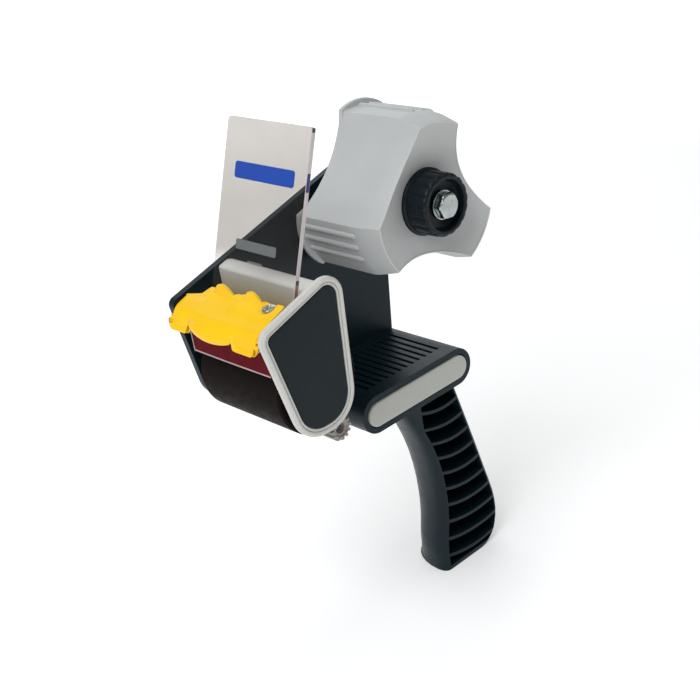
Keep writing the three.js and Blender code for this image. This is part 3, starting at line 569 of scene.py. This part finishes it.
def hub_beads():
    """Fine raised lines in a paler grey, a painted highlight where the hub's faces meet: round its open end and
    along each lobe's two corners.
    """
    outline = hub_outline()
    loops = []
    for p in outline:
        y = 0.0
        for _ in range(12):
            y = hub_dish(p.length * hub_nose(y))
        reach = p.length * hub_nose(y)
        ring = []
        for k in range(8):
            turn = 2 * math.pi * k / 8
            r = reach - 0.42 + 0.36 * math.cos(turn)
            ring.append((p.x / p.length * r, y + 0.18 - 0.26 * math.sin(turn), p.y / p.length * r))
        loops.append(ring)
    place(loft("hub_bead_rim", loops, hub_highlight_grey, closed=True, sharp=80.0), "hub", "hub_plastic")
    for lobe in range(3):
        for side in (-1, 1):
            angle = math.radians(HUB["first"] + lobe * 120 + side * (HUB["half"] - 0.3))
            loops = []
            for y in (0.6, 3.0, 6.0, 8.5, 10.3, 12.0, 20.0, 30.0, 41.8):
                x, z = hub_point(angle, y)
                loops.append([(x * (1 - 0.008) + 0.30 * math.cos(2 * math.pi * k / 8), y,
                               z * (1 - 0.008) + 0.30 * math.sin(2 * math.pi * k / 8)) for k in range(8)])
            name = f"hub_bead_{lobe + 1}_{'a' if side < 0 else 'b'}"
            place(loft(name, loops, hub_highlight_grey, closed=False, caps=True, sharp=80.0), "hub", "hub_plastic")


def hub_rib(name, degrees):
    """A low rounded rib along a lobe, running out to nothing at the open end."""
    angle = math.radians(degrees)
    out, side = Vector((math.cos(angle), math.sin(angle))), Vector((-math.sin(angle), math.cos(angle)))
    loops = []
    stations = ((11.2, 0.0), (11.9, 0.5), (12.6, 0.85), (13.4, 0.95), (24.0, 1.0), (34.0, 1.0), (41.7, 1.0))
    for y, height in stations:
        ring = []
        for k in range(12):
            turn = 2 * math.pi * k / 12
            rise = HUB["radius"] - 1.2 + (1.2 + height) * max(0.0, math.sin(turn)) ** 0.6
            across = math.cos(turn)
            p = out * rise + side * (1.25 * across * abs(across) ** -0.3 if abs(across) > 0.01 else 0)
            ring.append((p.x, y, p.y))
        loops.append(ring)
    return loft(name, loops, hub_grey, closed=False, caps=True, sharp=60.0)


# ------------------------------------------------------------------------------------------ knob and bolt

def knob_piece():
    """Flanged hand knob: shallow flutes round its body, a deep round well, and edges lighter in patches: partly
    rubbed wear, partly a painted highlight.
    """
    profile = [(3.3, 6.8), (13.2, 6.8), (13.6, 6.4), (13.6, 5.6), (13.3, 5.2), (12.7, 5.0),
               (12.55, 4.4), (12.5, 3.0), (12.45, 0.0), (12.4, -3.4), (12.3, -4.2), (12.0, -4.7),
               (11.5, -5.0), (10.8, -5.0), (10.3, -4.8), (10.05, -4.3), (9.9, -3.0), (9.7, -1.8),
               (9.3, -1.42), (8.6, -1.4), (6.4, -1.4), (6.2, -1.55), (5.4, -1.55), (5.2, -1.4),
               (3.3, -1.4)]
    weight = {6: 0.35, 7: 0.9, 8: 1.0, 9: 1.0, 10: 0.9, 11: 0.6, 12: 0.3, 13: 0.1}

    def fluted(row, radius, angle):
        wave = abs(math.sin(9 * (angle - 0.14)))
        return radius + weight.get(row, 0.0) * (0.28 - 0.75 * (1 - wave) ** 2)

    piece = spun("knob_body", 0, 0, profile, knob_navy, segments=216, radius_at=fluted, sharp=40.0)
    place(piece, "knob", "navy_plastic", "tension_knob")


def bolt_piece():
    """Hexagon bolt head, chamfered to a round crown, on a flanged face."""
    across, top, base = 9.5, -6.6, -3.5
    segments = 144
    loops = []

    def hexed(angle, radius):
        turn = (math.degrees(angle) + 6) % 60 - 30
        return min(radius, across / 2 / math.cos(math.radians(turn)))

    rows = ((0.02, top), (2.2, top), (3.9, top + 0.02), (4.25, top + 0.06), (4.6, top + 0.2),
            (4.95, top + 0.42), (5.3, top + 0.72), (5.6, top + 1.05), (5.6, base - 0.35),
            (5.5, base - 0.1), (5.3, base))
    for radius, y in rows:
        loops.append([(hexed(2 * math.pi * k / segments, radius) * math.cos(2 * math.pi * k / segments), y,
                       hexed(2 * math.pi * k / segments, radius) * math.sin(2 * math.pi * k / segments))
                      for k in range(segments)])
    loops.append([(3 * math.cos(2 * math.pi * k / segments), base, 3 * math.sin(2 * math.pi * k / segments))
                  for k in range(segments)])
    loops.append([(3 * math.cos(2 * math.pi * k / segments), 50.3, 3 * math.sin(2 * math.pi * k / segments))
                  for k in range(segments)])
    loops.append([(2.6 * math.cos(2 * math.pi * k / segments), 50.5, 2.6 * math.sin(2 * math.pi * k / segments))
                  for k in range(segments)])
    piece = loft("bolt", loops, zinc, closed=False, caps=True, sharp=24.0)
    place(piece, "knob", "zinc_steel", "axle_bolt")


# ------------------------------------------------------------------------------------------ side cover

RIM = [(-99.45, -14.28, 2.5), (-64.8, -3.27, 5.0), (-67.9, -57.6, 11.0), (-89.2, -57.6, 10.5)]


def cover_piece():
    """The light side cover: a rounded rim with a step inside it, its web, and the bridge to the side plate."""
    section = ((0.0, -8.4), (0.0, -9.1), (0.12, -9.3), (0.35, -9.4), (0.75, -9.4), (0.92, -9.3),
               (0.98, -9.0), (1.16, -8.95), (1.24, -9.5), (1.42, -9.8), (1.7, -9.95), (2.0, -10.0),
               (2.3, -9.93), (2.5, -9.78), (2.6, -9.45), (2.74, -9.4), (2.92, -9.35), (3.06, -9.05),
               (3.1, -8.5), (3.1, -7.6), (2.95, -7.25), (2.7, -7.2))
    loops = [[(x, y, z) for x, z in rounded_outline(offset_corners(RIM, d), 14)] for d, y in section]
    web = rounded_outline(offset_corners(RIM, -6.0), 14)
    loops.append([(x, -7.2, z) for x, z in web])
    loops.insert(0, [(x, -8.4, z) for x, z in web])
    rim = loft("cover_rim", loops, grey, closed=True, sharp=35.0)
    place(rim, "frame", "grey_plastic", "side_cover")
    plate = loft("cover_web", [[(x, y, z) for x, z in web] for y in (-8.4, -7.2)], grey, closed=False, caps=True)
    place(plate, "frame", "grey_plastic")

    slope = 0.318
    front, rear, skirt, wall = -74.8, -64.8, -17.5, 2.2

    def bridge(inset, foot):
        top = lambda x: RIM[1][1] + (x - rear) * slope
        return rounded_outline([(front + inset, foot, 0.0), (rear - 0.75 - inset, foot, 0.0),
                                (rear - inset, RIM[1][1] - inset * 1.35, max(5 - inset, 0.5)),
                                (front + inset, top(front) - inset, max(1.2 - inset, 0.3))], 10)

    outer, inner = bridge(0, skirt), bridge(wall, skirt)
    loops = [[(x, y, z) for x, z in outer] for y in (-7.4, 10.0, 30.0, 47.4)]
    loops += [[(x, 47.4, z) for x, z in inner]]
    loops += [[(x, y, z) for x, z in inner] for y in (30.0, 10.0, -7.2)]
    roof = loft("cover_bridge", loops, grey, closed=True, sharp=35.0)
    bevelled(roof, 0.25, 2, 50.0)
    place(roof, "frame", "grey_plastic")


def panel_piece():
    """The dark panel in the cover's rim, very slightly crowned, with a rounded border."""
    section = ((-0.2, -8.75), (-0.2, -9.1), (-0.28, -9.25), (-0.5, -9.33), (-1.2, -9.36), (-3.5, -9.4),
               (-7.0, -9.44))
    loops = [[(x, y, z) for x, z in rounded_outline(offset_corners(RIM, d), 14)] for d, y in section]
    panel = loft("cover_panel", loops, panel_navy, closed=False, caps=True, sharp=40.0)
    place(panel, "frame", "navy_plastic", "side_panel")


def end_panel_piece():
    """The light end panel of the tray, let into its rounded mouth."""
    front, rear, low, high = -49.6 + 2.9, 13.8 - 2.9, -84.4 + 2.9, -68.1 - 2.9
    middle, reach = (low + high) / 2, (high - low) / 2
    loops = []
    for d, y in ((0.0, 8.8), (0.0, 6.9), (-0.08, 6.6), (-0.3, 6.4), (-0.7, 6.32), (-2.5, 6.3)):
        r = reach + d
        ring = []
        for k in range(25):
            a = -math.pi / 2 + math.pi * k / 24
            ring.append((rear - reach + r * math.cos(a), y, middle + r * math.sin(a)))
        for k in range(25):
            a = math.pi / 2 + math.pi * k / 24
            ring.append((front + reach + r * math.cos(a), y, middle + r * math.sin(a)))
        loops.append(ring)
    panel = loft("tray_panel", loops, panel_grey, closed=False, caps=True, sharp=40.0)
    place(panel, "frame", "grey_plastic", "tray_end_panel")


# ------------------------------------------------------------------------------------------ guard

GUARD = {"rear": -84.6, "slope": 0.358, "thick": 1.5}


def guard_top(x, y):
    """Height of the guard's top face, with a step across it and a sunk seat for its screw."""
    z = -8.35 + (x + 84.3) * GUARD["slope"]
    z += 0.55 * (1 - smooth(19.3, 20.1, y)) * smooth(-95.5, -91.0, x)
    z -= 0.35 * smooth(35.0, 36.5, y) * smooth(-94.0, -90.0, x)
    seat = ((x + 87.4) / 3.3) ** 2 + ((y - 2.6) / 3.5) ** 2
    return z - 0.7 * (1 - smooth(0.8, 1.15, seat))


def guard_rear(y):
    """The rear edge steps forward towards the closed side."""
    if y < 38.6:
        return GUARD["rear"]
    if y < 40.6:
        return GUARD["rear"] - 4.1 * smooth(38.6, 40.6, y)
    return -88.7 - 2.0 * (y - 40.6) / 6.6


def guard_ear(y):
    """Height of the two finger tabs, steep on the closed side and long on the open side."""
    far = smooth(20.6, 30.4, y) * (1 - smooth(31.2, 36.4, y))
    near = smooth(4.4, 12.6, y) * (1 - smooth(13.4, 18.2, y))
    return 3.5 * max(far, near)


def rounded_end(distance, radius):
    """How far an outline draws back at a rounded corner, by the distance to its end."""
    if distance >= radius:
        return 0.0
    gap = radius - max(distance, 0.0)
    return radius - math.sqrt(max(radius ** 2 - gap ** 2, 0.0))


def guard_front(y):
    """(bulge, lobe share, foot height) of the guard's front: a bowed middle between two flared lobes."""
    near = 1 - smooth(7.6, 10.2, y)
    far = smooth(34.4, 36.2, y)
    lobe = max(near, far)
    t = min(max((y - 9.4) / 25.4, 0.0), 1.0)
    belly = math.sin(math.pi * t) ** 0.55
    foot = (-18.8 + 1.7 * t - 2.3 * belly) * (1 - lobe) + (-21.1 if y < 20 else -20.7) * lobe
    foot += 1.1 * rounded_end(47.2 - y, 2.6) + 1.2 * rounded_end(y + 4.2, 2.2)
    foot += lobe * (0.85 * rounded_end(9.6 - y, 3.6) if y < 20 else 0.9 * rounded_end(y - 35.0, 2.2))
    return belly * (1 - lobe), lobe, foot


def guard_profile(y):
    """Points down the guard at one station, from the tab's tip over the top to the foot."""
    rise = guard_ear(y)
    rear = guard_rear(y) - 2.0 * smooth(0.0, 0.8, rise) - 1.2
    points = []
    for step in range(7):
        t = 1 - step / 6
        x = rear + 0.5 * t
        points.append((x + 0.1 * rise * t ** 1.3, guard_top(x, y) + rise * t))
    bulge, lobe, foot = guard_front(y)
    draw_in = rounded_end(47.2 - y, 2.4) + rounded_end(y + 4.2, 1.8)
    shoulder = -97.0 + 0.6 * draw_in
    for step in range(1, 15):
        x = rear + (shoulder - rear) * step / 14
        points.append((x, guard_top(x, y) - 0.25 * draw_in))
    a = Vector(points[-1])
    b = Vector((-99.6 - 0.4 * bulge + draw_in, a.y - 0.9))
    c = Vector((-100.3 - 0.2 * bulge + draw_in, a.y - 2.9 + 0.9 * bulge))
    d = Vector((-101.4 - 2.1 * bulge + 0.5 * draw_in, min(foot + 2.2 + 1.1 * bulge, c.y - 0.3)))
    for step in range(1, 13):
        t = step / 12
        p = a * (1 - t) ** 2 + b * 2 * t * (1 - t) + c * t * t
        points.append((p.x, p.y))
    for step in range(1, 7):
        t = step / 6
        points.append((c.x + (d.x - c.x) * t, c.y + (d.y - c.y) * t))
    for step in range(1, 9):
        t = step / 8
        lip = 1.5 * lobe * smooth(0.25, 0.8, t) + 0.8 * bulge * math.sin(math.pi * t * 0.8)
        points.append((d.x - lip, d.y + (foot - d.y) * t))
    return points


def guard_piece():
    stations = np.linspace(-4.2, 47.2, 190)
    rows = [guard_profile(float(y)) for y in stations]
    points = [(x, float(y), z) for y, row in zip(stations, rows) for x, z in row]
    count = len(rows[0])
    faces = [(a * count + k, a * count + k + 1, (a + 1) * count + k + 1, (a + 1) * count + k)
             for a in range(len(rows) - 1) for k in range(count - 1)]
    hood = mesh_object("guard_hood", points, faces, yellow, sharp=70.0)
    if sum(face.normal.z for face in hood.data.polygons) < 0:
        hood.data.flip_normals()
    thick = hood.modifiers.new("wall", "SOLIDIFY")
    thick.thickness = GUARD["thick"] * UNIT
    thick.offset = -1.0
    thick.use_even_offset = False
    place(hood, "guard", "yellow_plastic", "blade_guard")
    guard_cheek("guard_cheek_near", -4.2, -2.8)
    guard_cheek("guard_cheek_far", 37.6, 39.0)


def guard_cheek(name, y0, y1):
    """A side wall of the guard. Its pivot pin runs through it."""
    edge = guard_profile(y0 if y0 < 20 else 46.6)[6:]
    outline = [(x + 0.3, z - 0.6) for x, z in edge if z > -16.0 and x > -98.5]
    outline += [(-97.5, -16.8), (-90.5, -16.8), (-86.0, -16.1), (GUARD["rear"] - 0.2, -13.4)]
    loops = [[(x, y, z) for x, z in outline] for y in (y0, y1)]
    place(loft(name, loops, yellow, closed=False, caps=True, sharp=40.0), "guard", "yellow_plastic")


def guard_screw_piece():
    """Pan-head screw with a cross recess, sunk in its seat on the guard."""
    tilt = -math.atan(GUARD["slope"] * 0.35)
    segments = 64
    base = Vector((-87.4, 2.6, -8.45 - 3.1 * GUARD["slope"]))
    loops = []
    rows = ((0.05, 0.5), (0.5, 0.52), (1.0, 0.56), (1.5, 0.56), (2.1, 0.48), (2.5, 0.34), (2.66, 0.1),
            (2.7, -0.4), (1.2, -0.5), (1.2, -2.8))
    for radius, height in rows:
        ring = []
        for k in range(segments):
            a = 2 * math.pi * k / segments
            x, y = radius * math.cos(a), radius * math.sin(a)
            h = height
            arm = min(abs(x * 0.8 + y * 0.6), abs(y * 0.8 - x * 0.6))
            if radius < 1.6 and height > 0.4:
                h -= 0.7 * (1 - smooth(0.22, 0.36, arm))
            ring.append((base.x + x * math.cos(tilt) + h * math.sin(tilt), base.y + y,
                         base.z - x * math.sin(tilt) + h * math.cos(tilt)))
        loops.append(ring)
    piece = loft("guard_fixing", loops, zinc, closed=False, caps=True, sharp=28.0)
    place(piece, "guard", "zinc_steel", "guard_screw")


# ------------------------------------------------------------------------------------------ shield and wiper


def on_shield(up, y, out):
    """A point given by its height up the shield, its y and its distance off the middle plane to the front."""
    x = -87.03 + up * math.cos(TILT) - out * math.sin(TILT)
    return x, y, -24 + up * math.sin(TILT) + out * math.cos(TILT)


def shield_piece():
    half, near, far, length = 0.9, -5.0, 42.5, 78.5
    outline = rounded_outline([(near, 0.0, 0.6), (far, 0.0, 0.6), (far, length, 1.6), (near, length, 1.6)], 8)
    loops = []
    for inset, out in ((0.12, -half), (0.0, -half + 0.12), (0.0, half - 0.12), (0.12, half)):
        ring = []
        for y, up in outline:
            cy = y + (inset if y < 18 else -inset)
            cu = up + (inset if up < 39 else -inset)
            bow = 0.0
            ring.append(on_shield(cu, cy, out + bow))
        loops.append(ring)
    piece = loft("shield_sheet", loops, sheet, closed=False, caps=True, sharp=35.0)
    place(piece, "frame", "clear_sheet", "clear_shield")
    piece.visible_shadow = False


def shield_mark(name, y0, y1, up0, up1, radius, material):
    """A plain printed bar on the shield's front face."""
    outline = rounded_outline([(y0, up0, radius), (y1, up0, radius), (y1, up1, radius), (y0, up1, radius)], 6)
    loops = [[on_shield(up, y, out) for y, up in outline] for out in (0.92, 0.96)]
    place(loft(name, loops, material, closed=False, caps=True), "frame", "clear_sheet")


def shield_edge_mark(name, up0, up1, material):
    """A painted band in the sheet's near cut edge: a painted reflection of what the edge shows there."""
    loops = [[on_shield(up, -4.99, -0.7), on_shield(up, -4.99, 0.7), on_shield(up, -5.02, 0.7),
              on_shield(up, -5.02, -0.7)] for up in (up0, up1)]
    place(loft(name, loops, material, closed=False, caps=True), "frame", "clear_sheet")


def wiper_front(y, z):
    """Front face of the wiper, slightly bowed towards its free edge."""
    return -96.0 + 0.15 * math.sin(math.pi * (y + 2.5) / 46.0) * (z + 20.6) / 11.7


def wiper_piece():
    """The burgundy wiper: a soft sheet with a pale pink strip along its free edge and its far end."""
    stations = [float(y) for y in np.linspace(-2.5, 43.5, 40)]
    levels = [float(z) for z in np.linspace(-20.6, -32.3, 16)]
    loops = [[(wiper_front(y, z), y, z) for z in levels] + [(wiper_front(y, z) + 1.0, y, z) for z in levels[::-1]]
             for y in stations]
    place(loft("wiper_sheet", loops, wiper_rubber, closed=False, caps=True, sharp=40.0), "wiper", "red_rubber",
          "wiper_flap")

    def strip(name, y0, y1, z0, z1):
        loops = [[(wiper_front(y, z) - out, y, z) for z, out in ((z0, 0.1), (z1, 0.1), (z1, -0.1), (z0, -0.1))]
                 for y in (float(v) for v in np.linspace(y0, y1, 24))]
        place(loft(name, loops, wiper_pale_strip, closed=False, caps=True), "wiper", "red_rubber")

    strip("wiper_border", -2.5, 43.5, -32.35, -31.7)
    strip("wiper_border_side", 42.9, 43.5, -31.7, -20.8)


def plate_screw(node, x, z, radius, shank):
    """Countersunk cross-recess screw, flush in the closed side's face."""
    low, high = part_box(node)
    first = ORIGIN.y + low[1] / UNIT
    top = ORIGIN.y + high[1] / UNIT
    loops = []
    rows = ((0.04, 0.0), (0.5, 0.0), (1.0, 0.0), (1.5, 0.0), (radius - 0.5, 0.0), (radius - 0.15, 0.05),
            (radius, 0.3), (shank, 1.7), (shank, 4.0))
    for r, depth in rows:
        ring = []
        for k in range(96):
            angle = 2 * math.pi * k / 96
            a, b = r * math.cos(angle), r * math.sin(angle)
            arm = min(abs(a * 0.87 + b * 0.5), abs(b * 0.87 - a * 0.5))
            sink = 0.9 * (1 - smooth(0.26, 0.42, arm)) if r <= 1.0 else 0.0
            ring.append((x + a, top - depth - sink, z + b))
        loops.append(ring)
    loops.append([(x + shank * math.cos(2 * math.pi * k / 96), first, z + shank * math.sin(2 * math.pi * k / 96))
                  for k in range(96)])
    piece = loft(node + "_cross", loops, zinc, closed=False, caps=True, sharp=30.0)
    place(piece, BODY_OF[node], SLOT_OF[node], node)


def guide_piece():
    """Small fluted guide roller with a dished near end."""
    profile = [(2.3, 43.4), (4.4, 43.4), (4.9, 43.1), (5.15, 42.6), (5.2, 41.8), (5.2, 1.0),
               (5.2, -0.2), (5.05, -0.7), (4.7, -0.97), (4.2, -1.0), (3.4, -0.6), (3.0, -0.1),
               (2.3, 0.0)]
    weight = (0.0, 0.3, 0.8, 1.0, 1.0, 1.0, 1.0, 1.0, 0.9, 0.6, 0.2, 0.0, 0.0)

    def fluted(row, radius, angle):
        wave = 0.5 + 0.5 * math.cos(12 * angle)
        return radius - weight[row] * 1.15 * (1 - smooth(0.25, 0.75, wave))

    piece = spun("guide_flutes", -67.2, -67.8, profile, guide_grey, segments=240, radius_at=fluted, sharp=50.0)
    place(piece, "guide_roller", "grey_plastic", "guide_roller")


hub_piece()
hub_beads()
guide_piece()
plate_screw("cover_screw", -69.8, -10.6, 3.1, 1.6)
plate_screw("block_screw", -91.2, -23.4, 3.1, 1.6)
plate_screw("roller_screw", -76.6, -44.0, 3.9, 2.1)
knob_piece()
bolt_piece()
cover_piece()
panel_piece()
end_panel_piece()
guard_piece()
guard_screw_piece()
shield_piece()
shield_mark("shield_bar", 1.4, 35.4, 56.4, 62.6, 1.2, print_blue)
shield_mark("shield_line_wide", 7.2, 30.6, 30.6, 34.4, 0.8, print_pale)
shield_mark("shield_line_thin", 14.3, 23.0, 26.4, 27.2, 0.3, print_pale)
# Painted reflections in the near cut edge: the printed bar, a brown band near the foot and two dark spots.
shield_edge_mark("shield_bar_edge", 55.8, 62.4, bar_reflection_violet)
shield_edge_mark("shield_edge_foot", 9.0, 23.0, edge_reflection_brown)
shield_edge_mark("shield_edge_knot", 23.0, 24.6, edge_reflection_dark)
shield_edge_mark("shield_edge_top", 76.6, 78.2, edge_reflection_dark)
wiper_piece()

FINISH = {
    "main_frame": navy, "tray_end_panel": panel_grey, "side_cover": grey, "side_panel": panel_navy,
    "head_block": black, "cutting_blade": bright, "blade_guard": yellow, "guard_pivot_pin": bright,
    "guard_spring": bright, "clear_shield": sheet, "shield_clamp": black, "wiper_flap": wiper_rubber,
    "roller_sleeve": roller_rubber, "roller_core": black, "roller_axle": bright, "guide_roller": guide_grey,
    "guide_axle": bright, "roll_hub": hub_grey, "tension_knob": knob_navy,
    "axle_sleeve": bright, "brake_spring": bright, "friction_washer": fibre,
}
for name, node in NODES.items():
    node.data.materials.clear()
    node.data.materials.append(FINISH.get(name, zinc))
for name in ("main_frame", "roller_sleeve", "roller_core", "roller_axle", "flat_washer",
             "lock_washer", "brake_spring", "guard_spring",
             "guide_axle", "guard_pivot_pin", "axle_sleeve"):
    refined(name, FINISH.get(name, zinc))

# ------------------------------------------------------------------------------------------ stage

def camera():
    """The camera stands at the open side, ahead of the cutting head and above it, slightly rolled."""
    data = bpy.data.cameras.new("view")
    data.lens = 65.83
    data.sensor_width = 36.0
    data.clip_start = 0.01
    data.clip_end = 20.0
    eye = bpy.data.objects.new("view", data)
    right = Vector((0.7204, -0.6764, -0.1531))
    up = Vector((0.3934, 0.2167, 0.8935))
    back = right.cross(up).normalized()
    up = back.cross(right).normalized()
    turn = Matrix((right.normalized(), up, back)).transposed().to_4x4()
    eye.matrix_world = Matrix.Translation(at(-332.82, -341.21, 165.32)) @ turn
    bpy.context.scene.collection.objects.link(eye)
    bpy.context.scene.camera = eye


def lamp(name, place, aim, size, power, colour=(1.0, 1.0, 1.0)):
    data = bpy.data.lights.new(name, "AREA")
    data.shape = "RECTANGLE"
    data.size, data.size_y = size
    data.energy = power
    data.color = colour
    light = bpy.data.objects.new(name, data)
    light.location = place
    light.rotation_euler = (Vector(aim) - Vector(place)).to_track_quat("-Z", "Y").to_euler()
    bpy.context.scene.collection.objects.link(light)


def floor():
    """A plain, flat, pale studio floor that glows more strongly away from the object."""
    mesh = bpy.data.meshes.new("studio_floor")
    bm = bmesh.new()
    bmesh.ops.create_grid(bm, x_segments=2, y_segments=2, size=6.0)
    bm.to_mesh(mesh)
    bm.free()
    ground = bpy.data.objects.new("studio_floor", mesh)
    ground.location = (0, 0, -0.0002)
    g = Graph("studio_floor")
    tint = g.remap(g.noise(1.2, 2.0), 0.3, 0.7, 0.0, 1.0)
    g.link(g.mix(tint, (0.90, 0.90, 0.90), (0.93, 0.93, 0.93)), g.shader.inputs["Base Color"])
    g.shader.inputs["Roughness"].default_value = 0.9
    g.shader.inputs["Emission Color"].default_value = (1.0, 1.0, 1.0, 1.0)
    away = g.add("ShaderNodeVectorMath", operation="LENGTH")
    g.link(g.place, away.inputs[0])
    g.link(g.remap(away.outputs["Value"], 0.6, 1.4, 0.31, 0.9), g.shader.inputs["Emission Strength"])
    g.shader.inputs["Specular IOR Level"].default_value = 0.1
    mesh.materials.append(g.material)
    bpy.context.scene.collection.objects.link(ground)


def world():
    sky = bpy.data.worlds.new("studio")
    sky.use_nodes = True
    sky.node_tree.nodes["Background"].inputs["Color"].default_value = (1.0, 1.0, 1.0, 1.0)
    sky.node_tree.nodes["Background"].inputs["Strength"].default_value = 0.28
    bpy.context.scene.world = sky
    bpy.context.scene.view_settings.view_transform = "Standard"


camera()
floor()
world()
lamp("key", (-0.80, -0.22, 1.10), (-0.02, 0.0, 0.13), (0.7, 0.7), 8.8, (0.955, 0.98, 1.0))
lamp("back", (0.55, 0.75, 0.55), (0.0, 0.0, 0.12), (0.9, 0.7), 2.5, (0.93, 0.98, 1.0))
lamp("top", (0.0, 0.1, 1.2), (0.0, 0.0, 0.1), (0.7, 0.7), 2.4)
